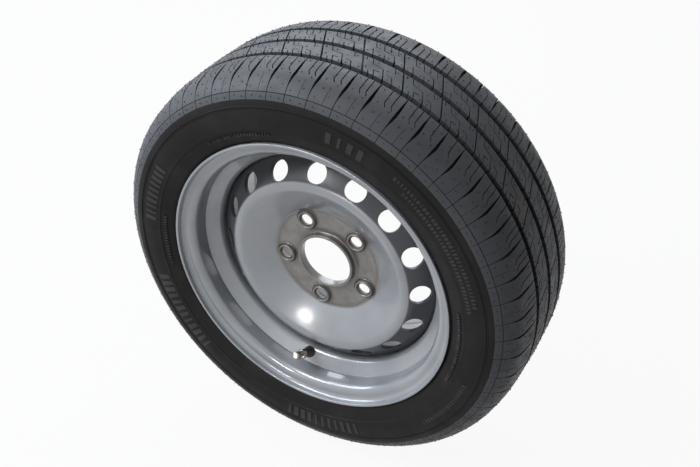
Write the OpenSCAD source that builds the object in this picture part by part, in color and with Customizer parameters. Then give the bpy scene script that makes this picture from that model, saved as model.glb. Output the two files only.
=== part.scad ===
// Trailer wheel: a radial tyre on a pressed and welded steel wheel, with its tyre valve.
// Everything is drawn about a local Z axis that points outboard, then turned upright,
// so that the wheel turns about Y, its outboard side faces -Y and +Z is up.
// The origin is the wheel's centre: on the axis, half way between the two bead seats.

/* [Tyre] */
// Outside diameter over the tread, unloaded
tyre_d = 524; // [516:1:532]
// Widest width, over the two sidewalls
section_w = 190; // [187:1:200]
// Width of the tread between its two shoulders
tread_w = 148; // [140:1:152]
// How far the tread falls from the crown to its shoulder
crown_drop = 6; // [4:0.5:8]
// Rubber and belts between the tread surface and the air chamber
tread_t = 15; // [12:0.5:18]
// Sidewall thickness at its widest point
sidewall_t = 8; // [6:0.5:10]

/* [Tread] */
// Number of grooves that run round the tread
groove_count = 3; // [2:1:3]
// Width of a groove that runs round the tread
groove_w = 7.6; // [5:0.1:10]
// Depth of the tread grooves
groove_depth = 6.5; // [4:0.5:8]
// Distance between two grooves that run round the tread
groove_gap = 34.5; // [30:0.5:38]
// How often the row of short, middling and long shoulder blocks repeats
pitch_rounds = 4; // [3:1:5]
// Angle of the first groove across the outboard shoulder
shoulder_angle = 32.8; // [0:0.1:40]
// Angle of the first groove across the inboard shoulder
inboard_angle = 34; // [0:0.1:40]
// Widest part of the grooves across the shoulder
shoulder_groove_w = 3.8; // [2:0.1:5]
// Depth of those grooves where they run out
shoulder_end_depth = 1.4; // [0.8:0.1:2.5]
// Number of slanting grooves across the middle ribs
rib_groove_count = 34; // [30:1:40]
// Slant of those grooves, in degrees
rib_slant = 25; // [10:1:35]
// Width of those grooves
rib_groove_w = 2; // [1:0.1:3]
// Angle of the first of those grooves
rib_angle = 9.8; // [0:0.1:10]

/* [Rim] */
// Diameter at the bead seats, measured where seat and flange meet
rim_d = 329.4; // [326:0.2:332]
// Width between the two flanges
rim_w = 152.4; // [150:0.2:156]
// Wall of the rolled rim
rim_wall = 3.2; // [2.6:0.1:3.8]
// Height of the flanges above the bead seat
flange_h = 17.3; // [16.5:0.1:18]
// How far each flange reaches out past its upright face
flange_reach = 12.8; // [11.5:0.1:13.5]
// Radius of the flange's rolled edge
flange_r = 9.5; // [8.5:0.5:10]
// Width of each bead seat
seat_w = 18.2; // [17:0.1:19]
// Slope of the bead seats, in degrees
seat_slope = 5; // [4:0.5:6]
// Depth of the well below the bead seats
well_depth = 17.5; // [16.5:0.1:18.5]
// Width of the well's floor
well_w = 42; // [38:0.5:46]
// From the wheel's middle to the outboard end of the well's floor
well_edge = 42.5; // [41:0.5:44]

/* [Disc] */
// Offset: from the wheel's middle out to the face that meets the hub
offset = 30; // [28:0.5:31]
// Thickness of the pressed disc
disc_wall = 4.5; // [3.5:0.1:4.8]
// Diameter of the centre bore
bore_d = 66.5; // [63:0.1:68]
// Wall of the collar drawn up round the centre bore
collar_wall = 3.6; // [3:0.1:4]
// Height of that collar, from the hub's face
collar_h = 11.8; // [10:0.1:13]
// Diameter of the flat hub face, where the bowl begins
hub_face_d = 133; // [130:0.5:136]
// Radius of the ridge between the bowl and the vent band
crown_at = 113; // [112:0.5:114]
// Height of that ridge's corner, from the wheel's middle
crown_z = 61.5; // [60:0.5:62]
// How round the ridge is
crown_r = 14; // [12:0.5:15]
// Outboard corner of the disc's skirt, from the wheel's middle
skirt_top = 35.5; // [35:0.5:37]
// Inboard end of the skirt, from the wheel's middle
skirt_end = 10; // [8:0.5:12]

/* [Holes] */
// Number of wheel bolts
bolt_count = 5; // [4:1:6]
// Diameter of the bolt circle
bolt_circle = 112; // [110:0.5:114]
// Diameter of each bolt hole
bolt_hole_d = 15; // [14:0.5:15.5]
// Outside diameter of the raised seat round each bolt hole
bolt_seat_d = 27; // [26:0.5:28]
// Height of the raised seats above the hub face
bolt_seat_h = 5; // [4:0.5:5.5]
// Angle of the first bolt hole
bolt_angle = 45.6; // [40:0.1:50]
// Number of vent holes
vent_count = 16; // [12:1:16]
// Diameter of each vent hole
vent_d = 26; // [22:0.5:26]
// Radius of the circle on which the vent holes are centred
vent_at = 128.4; // [128:0.1:129]
// Angle of the first vent hole
vent_angle = 2.2; // [0:0.1:10]

/* [Welds] */
// Number of weld runs that hold the disc in the rim
weld_count = 8; // [4:1:12]
// Length of each weld run, as an angle
weld_sweep = 18; // [12:1:24]
// Leg of the weld's triangle
weld_leg = 4; // [3:0.1:4.4]

/* [Valve] */
// Angle of the valve round the wheel
valve_angle = 262; // [255:0.5:269]
// How far out from the well's floor the valve leaves the rim
valve_at = 3; // [2.8:0.1:5.8]
// Diameter of the valve hole in the rim
valve_hole_d = 11.3; // [10.8:0.1:12]
// Length of the stem outside the rim
stem_l = 46; // [44:0.5:48]
// Outside diameter of the stem's cap thread
stem_d = 7.7; // [7.5:0.1:7.9]
// Diameter of the stem inside the rubber
shank_d = 6.4; // [6:0.1:6.8]
// Length of the rubber outside the rim
rubber_l = 24; // [22:0.5:26]
// Diameter of the rubber's shoulder on the rim
rubber_shoulder_d = 15; // [14:0.5:16]
// Diameter of the rubber's head inside the tyre
rubber_head_d = 18; // [16:0.5:19]
// Height of the rubber's head inside the tyre
rubber_head_h = 7; // [6:0.5:8]
// Outside diameter of the metal collar on the stem
valve_collar_d = 12.5; // [12:0.1:13]
// Length of that collar
valve_collar_l = 5; // [4:0.5:6]
// Outside diameter of the cap
cap_d = 9.4; // [9.2:0.1:10]
// Length of the cap
cap_l = 10; // [9:0.5:11]
// Thickness of the cap's end
cap_end = 1.8; // [1.4:0.1:2.2]
// Thickness of the sealing ring in the cap
cap_seal_t = 1.2; // [0.8:0.1:1.6]
// Inside diameter of the stem where the core screws in
core_d = 5; // [4.9:0.1:5.2]
// Diameter of the pin that opens the valve
pin_d = 1.1; // [1:0.1:1.2]
// How far the pin travels when it is pressed
pin_travel = 0.9; // [0.7:0.1:1]

/* [Clearances] */
// Gap between the bead and the rim's flange
bead_gap = 0.3; // [0.2:0.1:0.6]
// Running gap round the pin and in the cap's thread
run_gap = 0.05; // [0.03:0.01:0.08]

/* [Hidden] */
$fn = 96;
// Straight pieces that make up one rounded corner
corner_steps = 5;

// Rim: the side that faces the tyre
seat_r = rim_d / 2;
flange_z = rim_w / 2;
lip_z = flange_z + flange_reach;
lip_drop = 1;
heel_r = 6.5;
hump_h = 1.2;
hump_r = 3.6;
hump_z = flange_z - seat_w - hump_r;
well_r = seat_r - well_depth;
well_floor_r = well_r - rim_wall;
well_back = well_edge - well_w;
well_corner_r = 7;
ledge_rise = 12;
ledge_end = 1.25 * hump_r - hump_z;
flange_top_r = seat_r + flange_h;
seat_end_r = seat_r - seat_w * tan(seat_slope);
slope_top = [seat_end_r + hump_h, hump_z];
slope_foot = [well_r, well_edge];

// Valve: it stands square on the slope between the well and the outboard seat
slope_run = slope_top - slope_foot;
valve_tilt = atan2(slope_run[1], slope_run[0]);
slope_face = slope_foot + rim_wall * [-sin(valve_tilt), cos(valve_tilt)];
valve_r = well_r + valve_at;
valve_z = slope_face[1] + (valve_r - slope_face[0]) * tan(valve_tilt);

// Disc
hub_z = offset + disc_wall;
collar_top = offset + collar_h;
vent_tilt = atan2(crown_z - skirt_top, well_floor_r - crown_at);
vent_z = crown_z - (vent_at - crown_at) * tan(vent_tilt);
bolt_cone_h = 3;
bolt_seat_taper = 4.5;
hub_corner_r = 7;
skirt_corner_r = 8;
collar_root_r = 2.5;
collar_edge_r = 1;

// Valve core, measured up the stem from the rim
cap_pitch = 0.794;
cap_top = stem_l + cap_seal_t + cap_end;
pin_top = stem_l - 0.6;
pin_head_t = 0.9;
plug_top = pin_top - pin_head_t - pin_travel - 0.1;
plug_l = 4;
plug_foot = plug_top - plug_l;
barrel_l = 7.5;
barrel_foot = plug_foot - barrel_l;
barrel_d = core_d - 1.5;
core_bore_d = barrel_d + 0.3;
core_seat_z = plug_foot - 1.9;
core_bore_foot = barrel_foot - 6;
air_bore_d = 3;
cup_seal_t = 0.8;
cup_d = barrel_d - 0.3;
cup_wall = 0.25;
cup_t = 0.8;
spring_top = plug_foot - 1.4;
ledge_t = 1.2;
spring_foot = barrel_foot + ledge_t;
wire_d = 0.24;
spring_d = 1.75;
spring_turns = 5;
spring_steps = 14;
wire_sides = 6;

function unit(v) = v / norm(v);
function reverse(list) = [for (i = [len(list) - 1:-1:0]) list[i]];
function polar(r, a) = r * [cos(a), sin(a)];
function turn_to(a, b) = let (d = b - a) d > 180 ? d - 360 : d < -180 ? d + 360 : d;
function arc(centre, r, a, sweep, steps) =
    [for (i = [0:steps]) centre + polar(r, a + sweep * i / steps)];

// The arc that rounds the corner b between the lines from a and to c
function round_corner(a, b, c, r) =
    let (u = unit(a - b),
         v = unit(c - b),
         half = acos(u * v) / 2,
         centre = b + unit(u + v) * r / sin(half),
         start = b + u * r / tan(half) - centre,
         stop = b + v * r / tan(half) - centre,
         from = atan2(start[1], start[0]),
         to = atan2(stop[1], stop[0]))
    arc(centre, r, from, turn_to(from, to), corner_steps);

// A line through [across, along, corner radius] entries, with its corners rounded
function flat2(p) = [p[0], p[1]];
function is_square(pts, i) = i == 0 || i == len(pts) - 1 || pts[i][2] == 0;

// How far from its corner a rounding starts
function set_back(pts, i) = is_square(pts, i) ? 0
    : let (p = flat2(pts[i]),
           turn = acos(unit(flat2(pts[i - 1]) - p) * unit(flat2(pts[i + 1]) - p)))
      pts[i][2] / tan(turn / 2);

// Two roundings share the straight between them, and both shrink where it gets too short for them
function room(pts, i) =
    let (needed = set_back(pts, i) + set_back(pts, i + 1),
         straight = norm(flat2(pts[i + 1]) - flat2(pts[i])))
    needed > straight ? 0.99 * straight / needed : 1;

function rounded(pts) =
    [for (i = [0:len(pts) - 1])
        let (p = flat2(pts[i]))
        each is_square(pts, i) ? [p]
            : round_corner(flat2(pts[i - 1]), p, flat2(pts[i + 1]),
                           pts[i][2] * min(room(pts, i - 1), room(pts, i)))];

// The same line moved sideways by t, with mitred corners
function side(a, b) = let (d = unit(b - a)) [-d[1], d[0]];
function moved(line, t) =
    let (last = len(line) - 1)
    [for (i = [0:last])
        let (n0 = side(line[max(i - 1, 0)], line[max(i, 1)]),
             n1 = side(line[min(i, last - 1)], line[min(i + 1, last)]))
        line[i] + t * (n0 + n1) / (1 + n0 * n1)];

// The line seen in the mirror of the wheel's middle plane, run the other way
function mirrored(line) = [for (p = reverse(line)) [p[0], -p[1]]];

module upright() {
    rotate([90, 0, 0])
        children();
}

module ring(points) {
    rotate_extrude()
        polygon(points);
}

// A turned piece between two radii and two heights
module sleeve(r_out, r_in, z0, z1) {
    ring([[r_in, z0], [r_out, z0], [r_out, z1], [r_in, z1]]);
}

module round_pattern(count, first) {
    for (i = [0:count - 1])
        rotate([0, 0, first + i * 360 / count])
            children();
}

module at_valve() {
    rotate([0, 0, valve_angle])
        translate([valve_r, 0, valve_z])
            rotate([0, -valve_tilt, 0])
                children();
}

// Rim

// The outboard half of the line, from the lip to the hump that keeps the bead out
function lip_to_hump() = [
    [flange_top_r - lip_drop, lip_z, 0],
    [flange_top_r, flange_z, flange_r],
    [seat_r, flange_z, heel_r],
    [seat_end_r, flange_z - seat_w, hump_r * 0.8],
    [slope_top[0], slope_top[1], hump_r]];

function other_side(corners) = [for (c = reverse(corners)) [c[0], -c[1], c[2]]];

function rim_line() = rounded(concat(
    lip_to_hump(),
    [[slope_foot[0], slope_foot[1], well_corner_r],
     [well_r, well_back, well_corner_r],
     [well_r + ledge_rise, well_back - ledge_rise, well_corner_r],
     [seat_end_r - 1, ledge_end, hump_r * 0.8]],
    other_side(lip_to_hump())));

module rim() {
    color([0.62, 0.63, 0.65])
        upright()
            rim_sheet();
}

module rim_sheet() {
    line = rim_line();
    difference() {
        ring(concat(line, reverse(moved(line, -rim_wall))));
        at_valve()
            cylinder(d = valve_hole_d, h = 4 * rim_wall, center = true);
    }
}

// Disc

function bowl_line() = rounded([
    [bore_d / 2 + collar_wall + collar_root_r, hub_z, 0],
    [hub_face_d / 2, hub_z, hub_corner_r],
    [crown_at, crown_z, crown_r],
    [well_floor_r, skirt_top, skirt_corner_r],
    [well_floor_r, skirt_end, 0]]);

module disc_collar() {
    inner_r = bore_d / 2;
    outer_r = inner_r + collar_wall;
    root_r = collar_root_r;
    edge_r = collar_edge_r;
    ring(concat(
        [[outer_r + 2 * root_r, offset]],
        arc([inner_r + root_r, offset + root_r], root_r, 270, -90, corner_steps),
        arc([inner_r + edge_r, collar_top - edge_r], edge_r, 180, -90, corner_steps),
        arc([outer_r - edge_r, collar_top - edge_r], edge_r, 90, -90, corner_steps),
        arc([outer_r + root_r, hub_z + root_r], root_r, 180, 90, corner_steps),
        [[outer_r + 2 * root_r, hub_z]]));
}

// The sheet drawn up round a bolt hole, with its cone for the bolt's head
module bolt_boss() {
    cylinder(d1 = bolt_seat_d, d2 = bolt_seat_d - bolt_seat_taper, h = bolt_seat_h);
}

// The hollow behind it, a little narrower than the seat
module bolt_boss_hollow() {
    hollow_d = bolt_seat_d - disc_wall / 4;
    translate([0, 0, -disc_wall - 1])
        cylinder(d1 = hollow_d, d2 = hollow_d - bolt_seat_taper, h = bolt_seat_h);
}

module bolt_hole() {
    cylinder(d = bolt_hole_d, h = 4 * disc_wall, center = true);
    translate([0, 0, bolt_seat_h - bolt_cone_h])
        cylinder(d1 = bolt_hole_d, d2 = bolt_hole_d + 2 * bolt_cone_h * tan(30), h = bolt_cone_h);
}

module disc() {
    line = bowl_line();
    color([0.6, 0.61, 0.63])
        upright()
            difference() {
                union() {
                    ring(concat(line, reverse(moved(line, -disc_wall))));
                    disc_collar();
                    round_pattern(bolt_count, bolt_angle)
                        translate([bolt_circle / 2, 0, hub_z])
                            bolt_boss();
                }
                round_pattern(bolt_count, bolt_angle)
                    translate([bolt_circle / 2, 0, hub_z]) {
                        bolt_boss_hollow();
                        bolt_hole();
                    }
                round_pattern(vent_count, vent_angle)
                    translate([vent_at, 0, vent_z])
                        rotate([0, vent_tilt, 0])
                            cylinder(d = vent_d, h = 4 * disc_wall, center = true);
            }
}

module disc_welds() {
    color([0.5, 0.5, 0.52])
        upright()
            round_pattern(weld_count, -weld_sweep / 2)
                rotate_extrude(angle = weld_sweep)
                    polygon([[well_floor_r, skirt_end],
                             [well_floor_r, skirt_end - weld_leg],
                             [well_floor_r - weld_leg, skirt_end]]);
}

// Tyre: one half of the section, from the crown to the bead, and back inside

crown_r0 = tyre_d / 2;
shoulder_z = tread_w / 2;
half_w = section_w / 2;
side_h = crown_r0 - flange_top_r;
shoulder_edge = [crown_r0 - crown_drop * 2.9, shoulder_z + 12.5];
bead_top_r = flange_top_r + 3.5;
curl = [flange_top_r - flange_r, flange_z + flange_r];
toe_z = flange_z - seat_w + 1.5;
bead_t = 3;
chamber_r = crown_r0 - tread_t;
chamber_half_w = half_w - sidewall_t;

function seat_at(z) = seat_r - (flange_z - z) * tan(seat_slope);

// Radius at a share of the way up the sidewall, from the flange to the crown
function side_at(share) = flange_top_r + share * side_h;

function tyre_outside() = concat(
    rounded([
        [crown_r0, 0, 0],
        [crown_r0 - crown_drop * 0.22, shoulder_z * 0.65, side_h * 0.75],
        [crown_r0 - crown_drop, shoulder_z, side_h * 0.375],
        [shoulder_edge[0], shoulder_edge[1], side_h * 0.25],
        [side_at(0.66), half_w - 2, side_h * 0.375],
        [side_at(0.39), half_w, side_h * 0.75],
        [side_at(0.16), half_w - 2.5, side_h * 0.15],
        [bead_top_r, lip_z - 1, side_h * 0.035],
        [curl[0] + flange_r + bead_gap, curl[1], 0]]),
    arc(curl, flange_r + bead_gap, 0, -90, corner_steps),
    rounded([
        [curl[0] - 1, flange_z - bead_gap, 0],
        [seat_at(flange_z - bead_gap), flange_z - bead_gap, heel_r + 2 * bead_gap],
        [seat_at(toe_z), toe_z, 0]]));

function tyre_inside() = rounded([
    [seat_at(toe_z) + bead_t, toe_z - 2, 0],
    [flange_top_r - 4, toe_z + 2, side_h * 0.28],
    [side_at(0.12), chamber_half_w - 4, side_h * 0.28],
    [side_at(0.39), chamber_half_w, side_h * 0.7],
    [chamber_r - side_h * 0.12, chamber_half_w - 3, side_h * 0.24],
    [chamber_r, shoulder_z * 0.6, side_h * 0.5],
    [chamber_r, 0, 0]]);

// Tread: three sizes of block in a row that is repeated, so that the tyre doesn't hum
pitch_sizes = [24, 28, 31.5];
pitch_order = [0, 1, 2, 0, 0, 1, 2, 1, 2, 1, 0, 1, 0, 1, 1];
pitches = [for (k = pitch_order) pitch_sizes[k]];
function sum_first(list, n) = n == 0 ? 0 : list[n - 1] + sum_first(list, n - 1);
pitch_turns = [for (round = [0:pitch_rounds - 1], i = [0:len(pitches) - 1])
    (round + sum_first(pitches, i) / sum_first(pitches, len(pitches))) * 360 / pitch_rounds];
ribs_half_w = (groove_count - 1) / 2 * groove_gap;
shoulder_start = ribs_half_w + groove_w * 0.4;
shoulder_w = shoulder_edge[1] + 1.2 - shoulder_start;
rib_groove_depth = groove_depth - 1.5;
// Edge of a shoulder groove: its width and place, as shares of the widest and of the shoulder
shoulder_groove_edge = [[0.2, 1], [0.28, 0.86], [0.66, 0.76], [1, 0.58], [0.68, 0.32], [0.42, 0.16], [0.25, 0]];

module tyre() {
    half = concat(tyre_outside(), tyre_inside());
    color([0.17, 0.17, 0.18])
        upright()
            difference() {
                ring(concat(half, mirrored(half)));
                for (i = [0:groove_count - 1])
                    translate([0, 0, i * groove_gap - ribs_half_w])
                        tread_groove();
                for (turn = pitch_turns) {
                    rotate([0, 0, shoulder_angle + turn])
                        shoulder_groove();
                    rotate([0, 0, inboard_angle + turn])
                        rotate([180, 0, 0])
                            shoulder_groove();
                }
                round_pattern(rib_groove_count, rib_angle)
                    rib_groove();
            }
}

// A groove round the tread, a little narrower at its floor
module tread_groove() {
    floor_r = crown_r0 - groove_depth;
    top_r = crown_r0 + 1;
    ring([[floor_r, groove_w * 0.35],
          [floor_r, -groove_w * 0.35],
          [top_r, -groove_w / 2],
          [top_r, groove_w / 2]]);
}

// A groove across the shoulder: its outline seen from outside, cut deep by the ribs and shallow where it runs out.
// Its cutter stands well past the rubber
module shoulder_groove() {
    out = unit([1.2, 1.5]);
    end = shoulder_edge - shoulder_end_depth * out + [-0.6, 0.9];
    past = 20;
    top_z = end[1] + past / 2;
    left = [for (p = shoulder_groove_edge) [-p[0] * shoulder_groove_w * 0.9, shoulder_start + p[1] * shoulder_w]];
    right_w = shoulder_groove_w * 0.13;
    intersection() {
        rotate([90, 0, 0])
            linear_extrude(height = 4 * shoulder_groove_w, center = true)
                polygon([[crown_r0 + 1, shoulder_start],
                         [crown_r0 - groove_depth, shoulder_start],
                         [crown_r0 - crown_drop * 0.75 - groove_depth, shoulder_z * 0.88],
                         end,
                         end + past * out,
                         [crown_r0 + 1, end[1] + past * out[1]]]);
        translate([crown_r0 - 5 * groove_depth, 0, 0])
            cut_down(6 * groove_depth)
                polygon(concat([[right_w, shoulder_start - 1], [right_w, top_z], [left[0][0], top_z]],
                               left,
                               [[left[len(left) - 1][0], shoulder_start - 1]]));
    }
}

module rib_groove() {
    translate([crown_r0 - rib_groove_depth, 0, 0])
        cut_down(groove_depth)
            rotate(rib_slant)
                square([rib_groove_w, 2 * ribs_half_w / cos(rib_slant)], center = true);
}

// A flat outline, x round the tyre and y along its axis, drawn outwards from where it stands
module cut_down(height) {
    rotate([90, 0, 90])
        linear_extrude(height = height)
            children();
}

// Valve

// The rubber bears on both faces of the rim round its hole, so the rim gives it their shape
module valve_rubber() {
    hole_r = valve_hole_d / 2;
    shoulder_r = rubber_shoulder_d / 2;
    head_r = rubber_head_d / 2;
    head_z = -rim_wall - rubber_head_h;
    squeeze = 0.2;
    color([0.1, 0.1, 0.1])
        upright()
            difference() {
                at_valve()
                    ring([[shank_d / 2, head_z],
                          [head_r - 2, head_z],
                          [head_r, head_z + 2],
                          [head_r, -rim_wall - 1.5],
                          [hole_r + 1, squeeze - rim_wall],
                          [hole_r, squeeze - rim_wall],
                          [hole_r, -squeeze],
                          [shoulder_r, -squeeze],
                          [shoulder_r, 2],
                          [shoulder_r - 1, 3],
                          [hole_r + 0.4, 4.5],
                          [hole_r - 0.4, rubber_l],
                          [shank_d / 2, rubber_l]]);
                rim_sheet();
            }
}

module valve_stem() {
    shank_r = shank_d / 2;
    thread_r = stem_d / 2;
    foot = -rim_wall - rubber_head_h;
    color([0.72, 0.68, 0.6])
        upright()
            at_valve()
                ring([[air_bore_d / 2, foot],
                      [shank_r, foot],
                      [shank_r, rubber_l],
                      [thread_r, rubber_l],
                      [thread_r, stem_l - 0.6],
                      [thread_r - 0.6, stem_l],
                      [core_d / 2, stem_l],
                      [core_d / 2, core_seat_z + 0.9],
                      [core_bore_d / 2, core_seat_z],
                      [core_bore_d / 2, core_bore_foot],
                      [air_bore_d / 2, core_bore_foot - 0.6]]);
}

module valve_collar() {
    collar_r = valve_collar_d / 2;
    color([0.75, 0.73, 0.7])
        upright()
            at_valve()
                ring([[stem_d / 2, rubber_l],
                      [collar_r - 0.5, rubber_l],
                      [collar_r, rubber_l + 0.5],
                      [collar_r, rubber_l + 2],
                      [collar_r - 1.6, rubber_l + valve_collar_l],
                      [stem_d / 2, rubber_l + valve_collar_l]]);
}

module core_plug() {
    outer_r = core_d / 2;
    hollow_r = outer_r - 0.9;
    bridge_w = 1.8;
    bridge_t = 1.2;
    color([0.78, 0.66, 0.36])
        upright()
            at_valve()
                difference() {
                    translate([0, 0, plug_foot])
                        cylinder(r = outer_r, h = plug_l);
                    difference() {
                        translate([0, 0, plug_foot - 1])
                            cylinder(r = hollow_r, h = plug_l + 2);
                        translate([-outer_r, -bridge_w / 2, plug_top - bridge_t])
                            cube([2 * outer_r, bridge_w, bridge_t]);
                    }
                    translate([0, 0, plug_top - 2 * bridge_t])
                        cylinder(r = pin_d / 2 + run_gap, h = 3 * bridge_t);
                }
}

module core_barrel() {
    outer_r = barrel_d / 2;
    flange_r1 = core_d / 2 - 0.2;
    color([0.78, 0.66, 0.36])
        upright()
            at_valve()
                ring([[pin_d / 2 + 0.15, barrel_foot],
                      [outer_r, barrel_foot],
                      [outer_r, plug_foot - 0.8],
                      [flange_r1, plug_foot - 0.8],
                      [flange_r1, plug_foot],
                      [outer_r - 0.6, plug_foot],
                      [outer_r - 0.6, spring_foot],
                      [pin_d / 2 + 0.15, spring_foot]]);
}

module core_gasket() {
    color([0.85, 0.85, 0.82])
        upright()
            at_valve()
                ring([[barrel_d / 2, core_seat_z],
                      [core_bore_d / 2, core_seat_z],
                      [core_d / 2 - 0.2, core_seat_z + 0.9 * 0.5 / (0.6 + 0.05)],
                      [core_d / 2 - 0.2, plug_foot - 0.8],
                      [barrel_d / 2, plug_foot - 0.8]]);
}

// The spring's wire, as rings of points swept up a helix
module core_spring() {
    steps = spring_turns * spring_steps;
    rise = spring_top - spring_foot - wire_d;
    points = [for (i = [0:steps], k = [0:wire_sides - 1])
        let (a = i * 360 / spring_steps,
             b = k * 360 / wire_sides,
             r = (spring_d + wire_d * cos(b)) / 2)
        [r * cos(a), r * sin(a), spring_foot + wire_d / 2 + rise * i / steps + wire_d / 2 * sin(b)]];
    sides = [for (i = [0:steps - 1], k = [0:wire_sides - 1])
        let (n = (k + 1) % wire_sides, j = i * wire_sides)
        [j + k, j + n, j + n + wire_sides, j + k + wire_sides]];
    foot = [[for (k = [wire_sides - 1:-1:0]) k]];
    top = [[for (k = [0:wire_sides - 1]) steps * wire_sides + k]];
    color([0.7, 0.7, 0.72])
        upright()
            at_valve()
                polyhedron(points, concat(sides, foot, top));
}

module core_pin() {
    shaft_r = pin_d / 2;
    color([0.78, 0.66, 0.36])
        upright()
            at_valve()
                ring([[0, barrel_foot - cup_seal_t - cup_t - 0.6],
                      [shaft_r, barrel_foot - cup_seal_t - cup_t - 0.6],
                      [shaft_r, spring_top],
                      [barrel_d / 2 - 0.75, spring_top],
                      [barrel_d / 2 - 0.75, spring_top + 0.6],
                      [shaft_r, spring_top + 0.6],
                      [shaft_r, pin_top - pin_head_t],
                      [shaft_r + 0.4, pin_top - pin_head_t],
                      [shaft_r + 0.4, pin_top - 0.3],
                      [shaft_r + 0.1, pin_top],
                      [0, pin_top]]);
}

module core_cup() {
    outer_r = cup_d / 2;
    seal_foot = barrel_foot - cup_seal_t;
    color([0.78, 0.66, 0.36])
        upright()
            at_valve()
                ring([[pin_d / 2, seal_foot - cup_t],
                      [outer_r, seal_foot - cup_t],
                      [outer_r, seal_foot + cup_seal_t * 0.6],
                      [outer_r - cup_wall, seal_foot + cup_seal_t * 0.6],
                      [outer_r - cup_wall, seal_foot],
                      [pin_d / 2, seal_foot]]);
}

module core_seal() {
    color([0.12, 0.12, 0.12])
        upright()
            at_valve()
                sleeve(cup_d / 2 - cup_wall, pin_d / 2, barrel_foot - cup_seal_t, barrel_foot);
}

module valve_cap() {
    outer_r = cap_d / 2;
    inner_r = stem_d / 2 + run_gap;
    foot = cap_top - cap_l;
    color([0.75, 0.73, 0.7])
        upright()
            at_valve()
                ring([[inner_r, foot],
                      [outer_r - 0.3, foot],
                      [outer_r, foot + 0.4],
                      [outer_r, cap_top - 2],
                      [outer_r - 0.6, cap_top - 0.8],
                      [outer_r - 2, cap_top],
                      [0, cap_top],
                      [0, cap_top - cap_end],
                      [inner_r, cap_top - cap_end]]);
}

module valve_cap_seal() {
    color([0.12, 0.12, 0.12])
        upright()
            at_valve()
                sleeve(stem_d / 2, core_d / 2, stem_l, stem_l + cap_seal_t);
}

tyre();
rim();
disc();
disc_welds();
valve_rubber();
valve_stem();
valve_collar();
core_plug();
core_barrel();
core_gasket();
core_spring();
core_pin();
core_cup();
core_seal();
valve_cap();
valve_cap_seal();
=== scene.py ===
import bpy
import bmesh
import math
import random
from mathutils import Matrix, Vector


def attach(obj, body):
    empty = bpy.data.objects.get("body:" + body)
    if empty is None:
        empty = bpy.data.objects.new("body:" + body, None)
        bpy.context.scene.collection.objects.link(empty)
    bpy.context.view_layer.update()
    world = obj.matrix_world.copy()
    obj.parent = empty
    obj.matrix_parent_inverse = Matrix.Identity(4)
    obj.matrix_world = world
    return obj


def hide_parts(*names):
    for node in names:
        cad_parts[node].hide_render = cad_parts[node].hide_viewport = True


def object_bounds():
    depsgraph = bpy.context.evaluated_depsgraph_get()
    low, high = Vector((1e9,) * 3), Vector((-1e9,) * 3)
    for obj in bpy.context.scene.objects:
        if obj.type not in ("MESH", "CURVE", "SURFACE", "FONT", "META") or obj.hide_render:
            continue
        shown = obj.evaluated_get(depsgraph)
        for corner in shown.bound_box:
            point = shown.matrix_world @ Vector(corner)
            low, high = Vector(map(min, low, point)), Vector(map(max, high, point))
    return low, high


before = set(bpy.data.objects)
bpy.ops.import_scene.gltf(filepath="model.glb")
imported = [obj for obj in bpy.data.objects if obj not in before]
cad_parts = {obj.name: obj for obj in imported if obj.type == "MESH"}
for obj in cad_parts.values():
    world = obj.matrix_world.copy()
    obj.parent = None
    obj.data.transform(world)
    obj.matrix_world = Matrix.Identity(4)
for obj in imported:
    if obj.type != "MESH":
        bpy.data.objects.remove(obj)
cadLow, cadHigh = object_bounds()
print("frame loaded,", len(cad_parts), "nodes")

# Pieces are modelled in millimetres about a local Z axis that points outboard,
# then stood upright in the frame: the wheel turns about Y and its outside faces -Y.
upright = Matrix.Rotation(math.radians(90), 4, "X") @ Matrix.Scale(0.001, 4)
fullTurn = 2 * math.pi


# Camera, lights and floor

def setCamera():
    view = {"place": (0.4694, -0.8457, 0.7354), "ahead": (-0.38184, 0.70506, -0.5976), "lens": 51.5}
    data = bpy.data.cameras.new("camera")
    data.lens = view["lens"]
    data.sensor_width = 36
    camera = bpy.data.objects.new("camera", data)
    camera.location = view["place"]
    camera.rotation_euler = Vector(view["ahead"]).to_track_quat("-Z", "Y").to_euler()
    bpy.context.scene.collection.objects.link(camera)
    bpy.context.scene.camera = camera


def addLamp(name, place, target, size, watts, colour):
    data = bpy.data.lights.new(name, "AREA")
    data.shape = "RECTANGLE"
    data.size, data.size_y = size
    data.energy = watts
    data.color = colour
    lamp = bpy.data.objects.new(name, data)
    lamp.location = place
    lamp.rotation_euler = (Vector(target) - Vector(place)).to_track_quat("-Z", "Y").to_euler()
    bpy.context.scene.collection.objects.link(lamp)


def seenRay(tree):
    # one for rays that show the white surroundings, none for those that only light the wheel
    path = tree.nodes.new("ShaderNodeLightPath")
    seen = tree.nodes.new("ShaderNodeMath")
    seen.operation = "ADD"
    more = tree.nodes.new("ShaderNodeMath")
    more.operation = "ADD"
    more.use_clamp = True
    link = tree.links.new
    link(path.outputs["Is Camera Ray"], seen.inputs[0])
    link(path.outputs["Is Glossy Ray"], seen.inputs[1])
    link(seen.outputs[0], more.inputs[0])
    link(path.outputs["Is Transmission Ray"], more.inputs[1])
    return more.outputs[0]


def setWorld():
    strength = {"seen": 1.0, "lit": 0.09}
    world = bpy.data.worlds.new("world")
    bpy.context.scene.world = world
    world.use_nodes = True
    tree = world.node_tree
    back = tree.nodes["Background"]
    back.inputs["Color"].default_value = (1, 1, 1, 1)
    span = tree.nodes.new("ShaderNodeMapRange")
    span.inputs["To Min"].default_value = strength["lit"]
    span.inputs["To Max"].default_value = strength["seen"]
    tree.links.new(seenRay(tree), span.inputs["Value"])
    tree.links.new(span.outputs["Result"], back.inputs["Strength"])


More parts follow.
